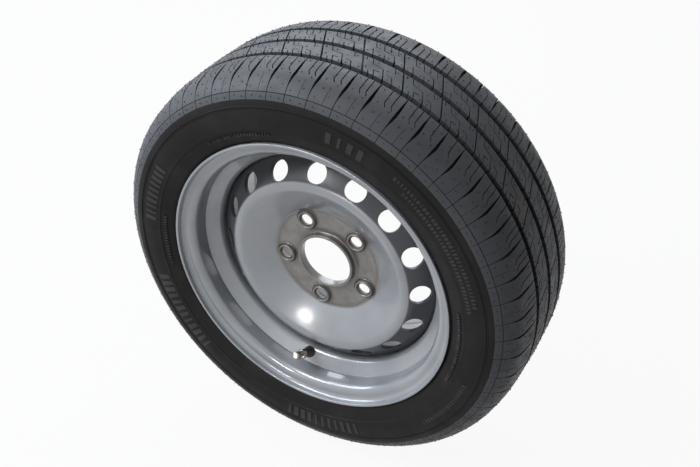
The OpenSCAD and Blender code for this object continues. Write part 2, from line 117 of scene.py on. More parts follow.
def setStage():
    setCamera()
    setWorld()
    addLamp("skyLamp", (-1.85, -0.4, 1.35), (0, 0, 0), (1.5, 1.5), 54, (0.83, 0.91, 1.0))
    addLamp("frontLamp", (-0.35, -2.5, 0.62), (0, 0, 0), (0.42, 0.32), 13, (1.0, 0.985, 0.96))
    addLamp("topLamp", (-0.85, -1.25, 1.75), (0, 0, 0), (0.9, 0.9), 29, (0.92, 0.96, 1.0))
    addLamp("backLamp", (-0.75, 1.5, 1.35), (0, 0, 0), (1.7, 1.4), 34, (0.86, 0.92, 1.0))
    bm = bmesh.new()
    bmesh.ops.create_grid(bm, x_segments=1, y_segments=1, size=30)
    bm.transform(Matrix.Translation((0, 0, cadLow.z)))
    mesh = bpy.data.meshes.new("floor")
    bm.to_mesh(mesh)
    bm.free()
    floor = bpy.data.objects.new("floor", mesh)
    bpy.context.scene.collection.objects.link(floor)
    floor.data.materials.append(floorMaterial())
    bpy.context.scene.view_settings.view_transform = "Standard"


def floorMaterial():
    pale = {"tone": 0.45, "roughness": 0.9, "glow": 1.0, "glowShare": 0.93}
    material = bpy.data.materials.new("paleFloor")
    material.use_nodes = True
    tree = material.node_tree
    surface = tree.nodes["Principled BSDF"]
    surface.inputs["Base Color"].default_value = (pale["tone"], pale["tone"], pale["tone"], 1)
    surface.inputs["Roughness"].default_value = pale["roughness"]
    surface.inputs["Specular IOR Level"].default_value = 0.0
    glow = tree.nodes.new("ShaderNodeEmission")
    glow.inputs["Strength"].default_value = pale["glow"]
    mix = tree.nodes.new("ShaderNodeMixShader")
    link = tree.links.new
    link(combine(tree, "MULTIPLY", seenRay(tree), pale["glowShare"]), mix.inputs["Fac"])
    link(surface.outputs["BSDF"], mix.inputs[1])
    link(glow.outputs["Emission"], mix.inputs[2])
    link(mix.outputs["Shader"], tree.nodes["Material Output"].inputs["Surface"])
    return material


# Shape helpers

def roundedLine(corners, steps=8):
    # corners are across, along and radius; each radius becomes an arc
    line = []
    for i, (across, along, radius) in enumerate(corners):
        here = Vector((across, along))
        if radius == 0 or i in (0, len(corners) - 1):
            line.append(here)
            continue
        back = (Vector(corners[i - 1][:2]) - here).normalized()
        onward = (Vector(corners[i + 1][:2]) - here).normalized()
        half = back.angle(onward) / 2
        centre = here + (back + onward).normalized() * radius / math.sin(half)
        first = here + back * radius / math.tan(half) - centre
        last = here + onward * radius / math.tan(half) - centre
        sweep = first.angle_signed(last)
        for step in range(steps + 1):
            line.append(centre + Matrix.Rotation(-sweep * step / steps, 2) @ first)
    return line


def movedLine(line, distance):
    # the same line moved sideways, with its corners kept sharp
    moved = []
    for i, here in enumerate(line):
        before = (here - line[i - 1]).normalized() if i else None
        after = (line[i + 1] - here).normalized() if i < len(line) - 1 else None
        before, after = before or after, after or before
        sideA, sideB = Vector((-before.y, before.x)), Vector((-after.y, after.x))
        moved.append(here + distance * (sideA + sideB) / (1 + sideA.dot(sideB)))
    return moved


def spinLine(bm, line, steps, closed=True, sweep=fullTurn, start=0.0):
    # a profile of radius and height turned about the wheel's axis
    verts = [bm.verts.new((p[0], 0, p[1])) for p in line]
    edges = [bm.edges.new(pair) for pair in zip(verts, verts[1:])]
    if closed:
        edges.append(bm.edges.new((verts[-1], verts[0])))
    if start:
        bmesh.ops.rotate(bm, verts=verts, cent=(0, 0, 0), matrix=Matrix.Rotation(start, 3, "Z"))
    bmesh.ops.spin(bm, geom=verts + edges, cent=(0, 0, 0), axis=(0, 0, 1), dvec=(0, 0, 0),
                   angle=sweep, steps=steps, use_merge=abs(sweep - fullTurn) < 1e-6)


def markCreases(bm, degrees):
    limit = math.radians(degrees)
    for face in bm.faces:
        face.smooth = True
    for edge in bm.edges:
        edge.smooth = edge.is_boundary or edge.calc_face_angle(0) < limit


def makePiece(name, bm, material, body="wheel", place=upright, creases=35, outward=True):
    bmesh.ops.remove_doubles(bm, verts=bm.verts, dist=1e-4)
    if outward:
        bmesh.ops.recalc_face_normals(bm, faces=bm.faces)
    markCreases(bm, creases)
    bm.transform(place)
    mesh = bpy.data.meshes.new(name)
    bm.to_mesh(mesh)
    bm.free()
    piece = bpy.data.objects.new(name, mesh)
    bpy.context.scene.collection.objects.link(piece)
    mesh.materials.append(material)
    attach(piece, body)
    print("made", name, len(mesh.polygons), "faces")
    return piece


# Materials

def startMaterial(name, colour, roughness, metallic=0.0):
    material = bpy.data.materials.new(name)
    material.use_nodes = True
    surface = material.node_tree.nodes["Principled BSDF"]
    surface.inputs["Base Color"].default_value = (*colour, 1)
    surface.inputs["Roughness"].default_value = roughness
    surface.inputs["Metallic"].default_value = metallic
    return material, material.node_tree, surface


def noiseField(tree, scale, detail=4, roughness=0.55):
    place = tree.nodes.new("ShaderNodeTexCoord")
    noise = tree.nodes.new("ShaderNodeTexNoise")
    noise.inputs["Scale"].default_value = scale
    noise.inputs["Detail"].default_value = detail
    noise.inputs["Roughness"].default_value = roughness
    tree.links.new(place.outputs["Object"], noise.inputs["Vector"])
    return noise.outputs["Fac"]


def mapValue(tree, field, low, high, toLow, toHigh):
    span = tree.nodes.new("ShaderNodeMapRange")
    span.inputs["From Min"].default_value = low
    span.inputs["From Max"].default_value = high
    span.inputs["To Min"].default_value = toLow
    span.inputs["To Max"].default_value = toHigh
    tree.links.new(field, span.inputs["Value"])
    return span.outputs["Result"]


def combine(tree, how, a, b):
    node = tree.nodes.new("ShaderNodeMath")
    node.operation = how
    for i, value in enumerate((a, b)):
        if isinstance(value, (int, float)):
            node.inputs[i].default_value = value
        else:
            tree.links.new(value, node.inputs[i])
    return node.outputs[0]


def blendColours(tree, factor, first, second):
    mix = tree.nodes.new("ShaderNodeMix")
    mix.data_type = "RGBA"
    for socket, value in (("A", first), ("B", second)):
        plug = next(s for s in mix.inputs if s.name == socket and s.type == "RGBA")
        if isinstance(value, tuple):
            plug.default_value = (*value, 1)
        else:
            tree.links.new(value, plug)
    tree.links.new(factor, mix.inputs["Factor"])
    return next(s for s in mix.outputs if s.type == "RGBA")


def addBump(tree, surface, height, strength, distance):
    bump = tree.nodes.new("ShaderNodeBump")
    bump.inputs["Strength"].default_value = strength
    bump.inputs["Distance"].default_value = distance
    tree.links.new(height, bump.inputs["Height"])
    tree.links.new(bump.outputs["Normal"], surface.inputs["Normal"])


def axisDistance(tree):
    # how far a point lies from the wheel's axis, in metres
    place = tree.nodes.new("ShaderNodeTexCoord")
    parts = tree.nodes.new("ShaderNodeSeparateXYZ")
    tree.links.new(place.outputs["Object"], parts.inputs[0])
    xx = combine(tree, "MULTIPLY", parts.outputs["X"], parts.outputs["X"])
    zz = combine(tree, "MULTIPLY", parts.outputs["Z"], parts.outputs["Z"])
    return combine(tree, "SQRT", combine(tree, "ADD", xx, zz), 0)


def boltDistance(tree, k):
    # how far a point lies from the middle of a bolt hole, in metres
    d = discShape
    angle = math.radians(d["boltAngle"]) + fullTurn * k / d["boltCount"]
    centre = (d["boltCircle"] * math.cos(angle), -d["hubZ"], d["boltCircle"] * math.sin(angle))
    away = tree.nodes.new("ShaderNodeVectorMath")
    away.operation = "DISTANCE"
    place = tree.nodes.new("ShaderNodeTexCoord")
    tree.links.new(place.outputs["Object"], away.inputs[0])
    away.inputs[1].default_value = [0.001 * v for v in centre]
    return away.outputs["Value"]


def addDirtRing(tree, base, distance, dirt, grime):
    away = combine(tree, "ABSOLUTE", combine(tree, "SUBTRACT", distance, dirt["at"]), 0)
    return blendColours(tree, mapValue(tree, away, 0, dirt["width"], dirt["share"], 0), base, grime)


def tyreRubber(name, dark, pale, dust, shine):
    # dark and pale rubber in broad clouds, with patches of dust over them
    material, tree, surface = startMaterial(name, dark, 0.55)
    surface.inputs["Specular IOR Level"].default_value = shine
    broad = mapValue(tree, noiseField(tree, 9), 0.35, 0.7, 0, 1)
    fine = noiseField(tree, 1400, 2)
    tone = blendColours(tree, broad, dark, pale)
    patches = mapValue(tree, noiseField(tree, 26, 5), 0.5, 0.8, 0, 0.5)
    tone = blendColours(tree, patches, tone, dust)
    tree.links.new(tone, surface.inputs["Base Color"])
    tree.links.new(mapValue(tree, noiseField(tree, 60), 0.3, 0.7, 0.42, 0.62), surface.inputs["Roughness"])
    addBump(tree, surface, fine, 0.25, 0.0002)
    return material


# the "band" tone is painted shade: the disc's slope behind the crown, darkened for the shadow and dark
# reflection it lies in
paintShape = {"paint": (0.285, 0.295, 0.315), "shade": (0.225, 0.235, 0.255), "warm": (0.165, 0.158, 0.147),
              "stain": (0.085, 0.074, 0.062), "band": (0.045, 0.046, 0.052), "grime": (0.075, 0.055, 0.04),
              "roughness": 0.34, "metallic": 0.12, "coatIor": 1.55, "rimCoat": (1.0, 0.06),
              "discCoat": (0.95, 0.17), "bandCoat": 0.12, "waver": 0.0025, "face": (0.0655, 0.0675),
              "slope": (0.1165, 0.1185)}
faceDirt = [{"at": 0.0674, "width": 0.0042, "share": 0.95}, {"at": 0.039, "width": 0.0045, "share": 0.9}]
boltDirt = {"at": 0.0136, "width": 0.0034, "share": 0.6}


def silverPaint(name, pressed):
    p = paintShape
    material, tree, surface = startMaterial(name, p["paint"], p["roughness"], p["metallic"])
    weight, rough = p["discCoat"] if pressed else p["rimCoat"]
    surface.inputs["Coat Weight"].default_value = weight
    surface.inputs["Coat Roughness"].default_value = rough
    surface.inputs["Coat IOR"].default_value = p["coatIor"]
    cloud = mapValue(tree, noiseField(tree, 14), 0.35, 0.7, 0, 1)
    base = blendColours(tree, cloud, p["paint"], p["shade"])
    if pressed:
        base = discTones(tree, surface, base)
    tree.links.new(base, surface.inputs["Base Color"])
    tree.links.new(mapValue(tree, noiseField(tree, 45), 0.3, 0.7, 0.28, 0.40), surface.inputs["Roughness"])
    addBump(tree, surface, noiseField(tree, 420, 2), 0.05, 0.0004)
    return material


def discTones(tree, surface, base):
    # a dull stained hub face, painted shade on the slope behind the crown, and dirt round the face, collar and
    # seats
    p = paintShape
    waver = combine(tree, "MULTIPLY", combine(tree, "SUBTRACT", noiseField(tree, 90), 0.5), p["waver"])
    radius = combine(tree, "ADD", axisDistance(tree), waver)
    stains = mapValue(tree, noiseField(tree, 55, 6, 0.65), 0.42, 0.68, 0, 0.8)
    face = mapValue(tree, radius, *p["face"], 1, 0)
    base = blendColours(tree, face, base, blendColours(tree, stains, p["warm"], p["stain"]))
    # painted shade: past the crown the paint turns dark, with less coat and no metal, in place of the shadow
    # under the rim
    slope = mapValue(tree, axisDistance(tree), *p["slope"], 0, 1)
    base = blendColours(tree, slope, base, p["band"])
    for dirt in faceDirt:
        base = addDirtRing(tree, base, radius, dirt, p["grime"])
    for k in range(discShape["boltCount"]):
        base = addDirtRing(tree, base, boltDistance(tree, k), boltDirt, p["grime"])
    coat = mapValue(tree, slope, 0, 1, p["discCoat"][0], p["bandCoat"])
    tree.links.new(coat, surface.inputs["Coat Weight"])
    tree.links.new(mapValue(tree, slope, 0, 1, p["metallic"], 0.0), surface.inputs["Metallic"])
    return base


def plainMetal(name, colour, roughness):
    material, tree, surface = startMaterial(name, colour, roughness, 1.0)
    tree.links.new(mapValue(tree, noiseField(tree, 500), 0.3, 0.7, roughness * 0.7, roughness * 1.4),
                   surface.inputs["Roughness"])
    addBump(tree, surface, noiseField(tree, 1800, 2), 0.1, 0.0001)
    return material


def softSeal(name, colour, roughness):
    material, tree, surface = startMaterial(name, colour, roughness)
    addBump(tree, surface, noiseField(tree, 2500, 2), 0.1, 0.0001)
    return material


# Rim and disc, as the steel is rolled and pressed

rimShape = {"seat": 164.7, "flangeZ": 76.2, "lipZ": 89.0, "flangeTop": 182.0, "lipDrop": 1.0, "flangeR": 9.5,
            "heelR": 6.5, "seatEnd": 163.108, "seatZ": 58.0, "seatR": 2.9, "humpTop": 164.308, "humpZ": 54.4,
            "humpR": 3.6, "wall": 3.2, "well": 147.2, "wellR": 7, "wellEdge": 42.5, "wellBack": 0.5,
            "ledgeRise": 12, "ledgeEnd": -49.9, "edge": 0.7, "steps": 240}


def rimOutline():
    s = rimShape
    half = [(s["flangeTop"] - s["lipDrop"], s["lipZ"], 0),
            (s["flangeTop"], s["flangeZ"], s["flangeR"]),
            (s["seat"], s["flangeZ"], s["heelR"]),
            (s["seatEnd"], s["seatZ"], s["seatR"]),
            (s["humpTop"], s["humpZ"], s["humpR"])]
    middle = [(s["well"], s["wellEdge"], s["wellR"]),
              (s["well"], s["wellBack"], s["wellR"]),
              (s["well"] + s["ledgeRise"], s["wellBack"] - s["ledgeRise"], s["wellR"]),
              (s["seatEnd"] - 1, s["ledgeEnd"], s["seatR"])]
    other = [(r, -z, c) for r, z, c in reversed(half)]
    return roundedLine(half + middle + other, 8)


def makeRim(paint):
    bm = bmesh.new()
    line = rimOutline()
    spinLine(bm, line + movedLine(line, -rimShape["wall"])[::-1], rimShape["steps"])
    rim = makePiece("wheelRim", bm, paint, creases=50)
    bevel = rim.modifiers.new("lipEdge", "BEVEL")
    bevel.width = rimShape["edge"] * 0.001
    bevel.segments = 2
    bevel.limit_method = "ANGLE"
    bevel.angle_limit = math.radians(50)
    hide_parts("rim")


discShape = {"wall": 4.5, "mountZ": 30.0, "hubZ": 34.5, "faceR": 66.5, "crownR": 113.0, "crownZ": 61.5,
             "crownRound": 14, "skirtR": 144.0, "skirtTop": 35.5, "skirtEnd": 10.0, "boreR": 33.25,
             "collarWall": 3.6, "collarTop": 41.8, "joinR": 41.0, "boltCount": 5, "boltCircle": 56.0,
             "boltR": 7.5, "boltAngle": 45.6, "ventCount": 16, "ventR": 13.0, "ventAt": 128.4, "ventAngle": 2.2,
             "ventBorder": 0.5, "bandHalf": 13.6, "patchR": 70.0, "patchDown": 6, "edge": 0.8, "steps": 160}

# A bolt's seat: distance from the hole's middle and height over the sheet, from the hole out
boltSeat = [(7.5, 0.5), (9.0, 4.2), (9.3, 4.8), (9.8, 5.05), (10.6, 5.0), (11.1, 4.6), (11.5, 3.6), (12.1, 1.6),
            (12.5, 0.6), (13.0, 0.15), (13.4, 0.0)]


def makeDisc(paint):
    s = discShape
    line = roundedLine([(s["joinR"], s["hubZ"], 0), (s["faceR"], s["hubZ"], 7),
                        (s["crownR"], s["crownZ"], s["crownRound"]),
                        (s["skirtR"], s["skirtTop"], 8), (s["skirtR"], s["skirtEnd"], 0)], 9)
    tilt = math.atan2(s["crownZ"] - s["skirtTop"], s["skirtR"] - s["crownR"])
    bm = bmesh.new()
    # the sheet's outboard face: plain rings, with the bolt ring and the vent band left open
    patchR, reach = s["patchR"], s["bandHalf"] * math.cos(tilt)
    low, high = s["ventAt"] - reach, s["ventAt"] + reach
    bowl = [p for p in line if patchR < p.x < low and p.y > s["hubZ"]]
    bowl = [Vector((patchR, profileHeight(line, patchR)))] + bowl + [Vector((low, profileHeight(line, low)))]
    outer = [Vector((high, profileHeight(line, high)))] + [p for p in line if p.x > high]
    spinLine(bm, bowl, s["steps"], closed=False)
    spinLine(bm, outer, s["steps"], closed=False)
    ventBand(bm, tilt, low, high, line)
    boltRing(bm, line)
    bmesh.ops.remove_doubles(bm, verts=bm.verts, dist=0.02)
    bmesh.ops.recalc_face_normals(bm, faces=bm.faces)
    if sum(f.normal.z for f in bm.faces) < 0:
        bmesh.ops.reverse_faces(bm, faces=bm.faces)
    disc = makePiece("wheelDisc", bm, paint, creases=60, outward=False)
    wall = disc.modifiers.new("sheet", "SOLIDIFY")
    wall.thickness = s["wall"] * 0.001
    wall.offset = -1
    wall.use_even_offset = True
    edge = disc.modifiers.new("drawnEdges", "BEVEL")
    edge.width = s["edge"] * 0.001
    edge.segments = 3
    edge.limit_method = "ANGLE"
    edge.angle_limit = math.radians(55)
    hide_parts("disc")
    makeCollar(paint)


def profileHeight(line, radius):
    for a, b in zip(line, line[1:]):
        if a.x <= radius <= b.x:
            return a.y + (b.y - a.y) * (radius - a.x) / (b.x - a.x)
    return line[-1].y


def patchBorder(low, high, halfAngle, across, down):
    # once round a patch of the disc, as radius and angle from the patch's middle
    border = [(low, -halfAngle + 2 * halfAngle * i / across) for i in range(across)]
    border += [(low + (high - low) * i / down, halfAngle) for i in range(down)]
    border += [(high, halfAngle - 2 * halfAngle * i / across) for i in range(across)]
    border += [(high + (low - high) * i / down, -halfAngle) for i in range(down)]
    return border


def borderVerts(bm, border, turn, line):
    return [bm.verts.new((r * math.cos(turn + a), r * math.sin(turn + a), profileHeight(line, r)))
            for r, a in border]


def loopEdges(bm, ring):
    edges = []
    for a, b in zip(ring, ring[1:] + ring[:1]):
        edges.append(bm.edges.get((a, b)) or bm.edges.new((a, b)))
    return edges


def bridgeRings(bm, rings):
    for inner, wider in zip(rings, rings[1:]):
        bmesh.ops.bridge_loops(bm, edges=loopEdges(bm, inner) + loopEdges(bm, wider))


def ventBand(bm, tilt, low, high, line):
    s = discShape
    halfAngle = math.pi / s["ventCount"]
    border = patchBorder(low, high, halfAngle, s["steps"] // s["ventCount"], s["patchDown"])
    # each ring starts near its patch's first corner, so that the faces between them don't twist
    begin = math.radians(-130)
    for k in range(s["ventCount"]):
        turn = math.radians(s["ventAngle"]) + 2 * halfAngle * k
        outer = borderVerts(bm, border, turn, line)
        rings = []
        for size in (s["ventR"], s["ventR"] + s["ventBorder"]):
            ring = []
            for i in range(len(border)):
                angle = begin + fullTurn * i / len(border)
                r = s["ventAt"] + size * math.sin(angle) * math.cos(tilt)
                a = turn + size * math.cos(angle) / r
                ring.append(bm.verts.new((r * math.cos(a), r * math.sin(a), profileHeight(line, r))))
            rings.append(ring)
        bridgeRings(bm, rings + [outer])


def boltRing(bm, line):
    s = discShape
    halfAngle = math.pi / s["boltCount"]
    border = patchBorder(s["joinR"], s["patchR"], halfAngle, s["steps"] // s["boltCount"], s["patchDown"])
    begin = math.pi + math.radians(-150)
    for k in range(s["boltCount"]):
        turn = math.radians(s["boltAngle"]) + 2 * halfAngle * k
        centre = Vector((s["boltCircle"] * math.cos(turn), s["boltCircle"] * math.sin(turn), 0))
        rings = []
        for size, rise in boltSeat:
            ring = []
            for i in range(len(border)):
                angle = turn + begin + fullTurn * i / len(border)
                spot = centre + Vector((size * math.cos(angle), size * math.sin(angle), 0))
                spot.z = max(s["hubZ"], profileHeight(line, spot.xy.length)) + rise
                ring.append(bm.verts.new(spot))
            rings.append(ring)
        bridgeRings(bm, rings + [borderVerts(bm, border, turn, line)])


def makeCollar(paint):
    s = discShape
    inner, outer = s["boreR"], s["boreR"] + s["collarWall"]
    line = roundedLine([(s["joinR"], s["mountZ"], 0), (inner, s["mountZ"], 2.5), (inner, s["collarTop"], 1.2),
                        (outer, s["collarTop"], 1.2), (outer, s["hubZ"], 2.5), (s["joinR"], s["hubZ"], 0)], 6)
    bm = bmesh.new()
    spinLine(bm, line, s["steps"])
    makePiece("hubCollar", bm, paint, creases=60)


weldShape = {"count": 8, "sweep": 18, "leg": 4, "steps": 44, "ripple": 0.16, "throat": 0.62,
             "waves": 60}


def makeWelds(paint):
    s, d = weldShape, discShape
    bm = bmesh.new()
    for k in range(s["count"]):
        start = math.radians(k * 360 / s["count"] - s["sweep"] / 2)
        face = [(d["skirtR"], d["skirtEnd"]), (d["skirtR"], d["skirtEnd"] - s["leg"]),
                (d["skirtR"] - s["throat"] * s["leg"], d["skirtEnd"] - s["throat"] * s["leg"]),
                (d["skirtR"] - s["leg"], d["skirtEnd"])]
        before = set(bm.verts)
        spinLine(bm, face, s["steps"], closed=True, sweep=math.radians(s["sweep"]), start=start)
        run = [v for v in bm.verts if v not in before]
        for v in run:
            along = (math.atan2(v.co.y, v.co.x) - start) / math.radians(s["sweep"])
            if v.co.z < d["skirtEnd"] - 1:
                v.co.z += s["ripple"] * math.sin(along * s["waves"])
    bmesh.ops.remove_doubles(bm, verts=bm.verts, dist=0.001)
    bmesh.ops.holes_fill(bm, edges=[e for e in bm.edges if e.is_boundary], sides=6)
    welds = makePiece("weldBeads", bm, paint, creases=40)
    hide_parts("disc_welds")


# Tyre: the section from the crown out to the bead, then the tread wrapped onto it

tyreShape = {"crownR": 262.0, "drop": 6.0, "shoulderZ": 74.0, "halfWidth": 95.0, "widestR": 213.0,
             "flangeTop": 182.0, "lipZ": 89.0, "flangeZ": 76.2, "flangeR": 9.5, "gap": 0.3, "seat": 164.7,
             "slope": 5, "toeZ": 59.5, "treadT": 15.0, "sideT": 8.0, "steps": 300}


def tyreOutside():
    s = tyreShape
    top = s["flangeTop"] + 3.5
    curl = (s["flangeTop"] - s["flangeR"], s["flangeZ"] + s["flangeR"])
    line = roundedLine([
        (s["crownR"], 0, 0),
        (s["crownR"] - s["drop"] * 0.22, s["shoulderZ"] * 0.65, 60),
        (s["crownR"] - s["drop"], s["shoulderZ"], 30),
        (s["crownR"] - s["drop"] * 2.9, s["shoulderZ"] + 12.5, 20),
        (s["widestR"] + 22, s["halfWidth"] - 2, 30),
        (s["widestR"], s["halfWidth"], 60),
        (s["flangeTop"] + 13, s["halfWidth"] - 2.5, 12),
        (top, s["lipZ"] - 1, 3),
        (top - 3, curl[1], 0)], 8)
    bead = roundedLine([
        (curl[0] + s["flangeR"] + s["gap"], curl[1], 0),
        (curl[0] + s["flangeR"] + s["gap"], s["flangeZ"] - s["gap"], s["flangeR"] + s["gap"] - 0.001),
        (s["seat"], s["flangeZ"] - s["gap"], 7.1),
        (s["seat"] - (s["flangeZ"] - s["toeZ"]) * math.tan(math.radians(s["slope"])), s["toeZ"], 0)], 6)
    return line, bead


def measureLine(line):
    lengths = [0.0]
    for a, b in zip(line, line[1:]):
        lengths.append(lengths[-1] + (b - a).length)
    return lengths


class Section:
    # the tyre's outside as a track: a distance from the crown gives a point and the way out of the rubber
    def __init__(self, line):
        self.line = line
        self.lengths = measureLine(line)

    def at(self, distance):
        away = min(abs(distance), self.lengths[-1] - 1e-6)
        i = max(k for k, length in enumerate(self.lengths) if length <= away)
        i = min(i, len(self.line) - 2)
        share = (away - self.lengths[i]) / max(self.lengths[i + 1] - self.lengths[i], 1e-9)
        point = self.line[i].lerp(self.line[i + 1], share)
        normal = self.normalAt(i).lerp(self.normalAt(i + 1), share).normalized()
        flip = 1 if distance >= 0 else -1
        return Vector((point.x, flip * point.y)), Vector((normal.x, flip * normal.y))

    def normalAt(self, i):
        before = self.line[i] - self.line[max(i - 1, 0)]
        after = self.line[min(i + 1, len(self.line) - 1)] - self.line[i]
        if i == 0:
            return Vector((1, 0))
        run = (before.normalized() + (after if after.length else before).normalized()).normalized()
        return Vector((run.y, -run.x))


def wrapOnTyre(bm, section):
    spots = {}
    for v in bm.verts:
        key = round(v.co.y, 4)
        if key not in spots:
            spots[key] = section.at(v.co.y)
        point, normal = spots[key]
        r = point.x + normal.x * v.co.z
        z = point.y + normal.y * v.co.z
        a = v.co.x / tyreShape["crownR"]
        v.co = (r * math.cos(a), r * math.sin(a), z)


carcassShape = {"treadDepth": 6.5, "shoulderDepth": 1.3, "bandDepth": 0.8, "deepFrom": 66, "shallowTo": 88,
                "line1": 93.3, "line2": 102.4,
                "ribs": [(109.2, 0), (109.5, 0.55), (110.3, 0.55), (110.6, -0.25), (111.2, -0.25), (111.5, 0.5),
                         (112.3, 0.5), (112.7, 0), (135.6, 0.25), (136.4, 0.35), (137.0, -0.45), (139.5, -0.7),
                         (144, -0.9), (150, -0.5)]}


def makeCarcass(rubber, section, bead):
    # the outside as distances from the crown and heights over the moulding: sunk under the tread, then fine ribs
    s, t = carcassShape, tyreShape
    sunk = [(0, -s["treadDepth"]), (s["deepFrom"], -s["treadDepth"]), (s["shallowTo"], -2.2),
            (s["line1"] - 0.3, -s["shoulderDepth"]), (s["line1"] + 0.3, -s["bandDepth"]),
            (s["line2"] - 0.2, -s["bandDepth"]), (s["line2"], 0)]
    marks = []
    for (a, ha), (b, hb) in zip(sunk, sunk[1:]):
        count = max(1, int((b - a) / 4))
        marks += [(a + (b - a) * i / count, ha + (hb - ha) * i / count) for i in range(count)]
    marks.append(sunk[-1])
    marks += [(a, 0) for a in (104, 106, 108)] + s["ribs"]
    marks += [(a, 0.1) for a in (114, 117, 120, 123, 126, 129, 132, 134.4)]
    marks += [(a, 0) for a in (152.5, 154, 155.5)]
    marks.sort()
    line = []
    for distance, rise in marks:
        if distance < section.lengths[-1]:
            point, normal = section.at(distance)
            line.append(point + normal * rise)
    inside = roundedLine([
        (bead[-1].x + 3, t["toeZ"] - 2, 0),
        (t["flangeTop"] - 4, t["toeZ"] + 2, 25),
        (t["flangeTop"] + 10, t["halfWidth"] - t["sideT"] - 4, 25),
        (t["widestR"], t["halfWidth"] - t["sideT"], 60),
        (t["crownR"] - t["treadT"] - 10, t["halfWidth"] - t["sideT"] - 3, 22),
        (t["crownR"] - t["treadT"], t["shoulderZ"] * 0.6, 40),
        (t["crownR"] - t["treadT"], 0, 0)], 4)
    half = line + bead + inside
    whole = half + [Vector((p.x, -p.y)) for p in half[::-1]]
    bm = bmesh.new()
    spinLine(bm, whole, t["steps"])
    carcass = makePiece("tyreCarcass", bm, rubber, creases=38)
    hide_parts("tyre")


treadShape = {"pitches": (24.0, 28.0, 31.5), "order": (0, 1, 2, 0, 0, 1, 2, 1, 2, 1, 0, 1, 0, 1, 1),
              "rounds": 4, "firstAngle": 32.8, "inboardAngle": 34.0, "ribPitches": 34, "ribAngle": 41.56,
              "slant": -0.467,
              "grooveAt": 34.5, "grooveHalf": 3.8, "ribGap": 1.0, "shoulderEnd": 93.1, "sipe": 1.0,
              "stepCut": 0.5, "notch": 0.9, "notchShare": 0.18, "blockDepth": 7.5, "edge": 0.3}

# Cuts of a rib in shares of its pitch and of its width from the outboard edge. First the stepped cut between
# the two blocks of a pitch, then each short cut as place and run, from the outboard or the inboard edge
outerRib = {"step": [(0.75, 1), (0.75, 0.68), (0.50, 0.62), (0.50, 0)],
            "outboard": [(0.73, [(0, 0.31), (-0.14, 0.33)]), (0.86, [(0, 0.2)]),
                         (0.28, [(0, 0.34), (0.13, 0.37)])],
            "inboard": [(0.20, [(0, -0.32)]), (0.90, [(0, -0.18)])]}
innerRib = {"step": [(0.50, 1), (0.50, 0.55), (0.25, 0.48), (0.25, 0)],
            "outboard": [(0.78, [(0, 0.42)]), (0.50, [(0, 0.25)])],
            "inboard": [(0.70, [(0, -0.38), (-0.12, -0.40)]), (0.33, [(0, -0.36)]), (0.15, [(0, -0.36)])]}


def edgeWithCuts(y, xFrom, xTo, cuts):
    # an edge with slits let into it; each slit is (x, run of points from the edge, width)
    points = [Vector((xFrom, y))]
    for x, run, width in sorted(cuts, key=lambda cut: abs(cut[0] - xFrom)):
        track = [Vector((x, y))] + [Vector((x + dx, y + dy)) for dx, dy in run]
        ahead = (track[1] - track[0]).normalized()
        sides = [movedLine(track, width / 2), movedLine(track, -width / 2)]
        for side in sides:
            side[0] = side[0] - ahead * (side[0].y - y) / ahead.y
        sides.sort(key=lambda side: abs(side[0].x - xFrom))
        points += sides[0] + sides[1][::-1]
    points.append(Vector((xTo, y)))
    return points


def addBlock(bm, outline):
    face = bm.faces.new([bm.verts.new((x, y, 0)) for x, y in outline])
    if face.normal.z < 0:
        face.normal_flip()


def pitchRow():
    # start, width and size of each block round the tyre
    s = treadShape
    sizes = s["order"] * s["rounds"]
    scale = fullTurn * tyreShape["crownR"] / sum(s["pitches"][k] for k in sizes)
    row, x = [], 0.0
    for k in sizes:
        width = s["pitches"][k] * scale
        row.append((x, width, k))
        x += width
    return row


def placeRow(x, width, flat):
    # one pitch's outline on the outboard side, and turned half a turn on the inboard side
    s, r = treadShape, tyreShape["crownR"]
    first, second = math.radians(s["firstAngle"]) * r, math.radians(s["inboardAngle"]) * r
    return [[(first + x + px, py) for px, py in flat], [(second + x + width - px, -py) for px, py in flat]]


def shoulderOutline(width, size):
    s = treadShape
    inner, outer = s["grooveAt"] + s["grooveHalf"], s["shoulderEnd"]
    right = [(0.5, inner), (0.6, inner + 16), (0.3, inner + 28), (0.1, inner + 40)]
    left = [(-0.7, inner + 45), (-2.2, inner + 38), (-3.4, inner + 29), (-2.2, inner + 16), (-1.2, inner + 8)]
    places = (0.30, 0.56) if size else (0.48,)
    sipes = [(width * place, [(-1.1, 20.7), (-4.6, 26.5)], s["sipe"]) for place in places]
    hair = [(width * 0.42, [(-1.2, -21)], 0.35)] if size else []
    outline = right + edgeWithCuts(outer, 0.35, width - 0.35, hair)
    outline += [(width + dx, y) for dx, y in left]
    return outline + edgeWithCuts(inner, width - 0.5, 0.5, sipes)[:-1]


def makeTread(rubber, section):
    s = treadShape
    bm = bmesh.new()
    for x, width, size in pitchRow():
        for outline in placeRow(x, width, shoulderOutline(width, size)):
            addBlock(bm, outline)
    for outline in ribOutlines():
        addBlock(bm, outline)
    sinkBlocks(bm, s["blockDepth"], s["edge"])
    cutForCurve(bm, [44, 50, 56, 62, 67, 71, 75, 79, 83, 87, 90])
    wrapOnTyre(bm, section)
    makePiece("treadBlocks", bm, rubber, creases=28)


def sinkBlocks(bm, depth, edge):
    # each flat block becomes a closed one: its foot goes down, and its upper edges are eased
    copied = bmesh.ops.extrude_face_region(bm, geom=list(bm.faces))
    lowered = [g for g in copied["geom"] if isinstance(g, bmesh.types.BMVert)]
    bmesh.ops.translate(bm, verts=lowered, vec=(0, 0, -depth))
    bmesh.ops.recalc_face_normals(bm, faces=bm.faces)
    rims = [e for e in bm.edges if all(v.co.z > -0.01 for v in e.verts) and e.calc_face_angle(0) > 1]
    bmesh.ops.bevel(bm, geom=rims, offset=edge, offset_type="OFFSET", affect="EDGES", segments=1,
                    profile=0.5, material=-1, clamp_overlap=True)


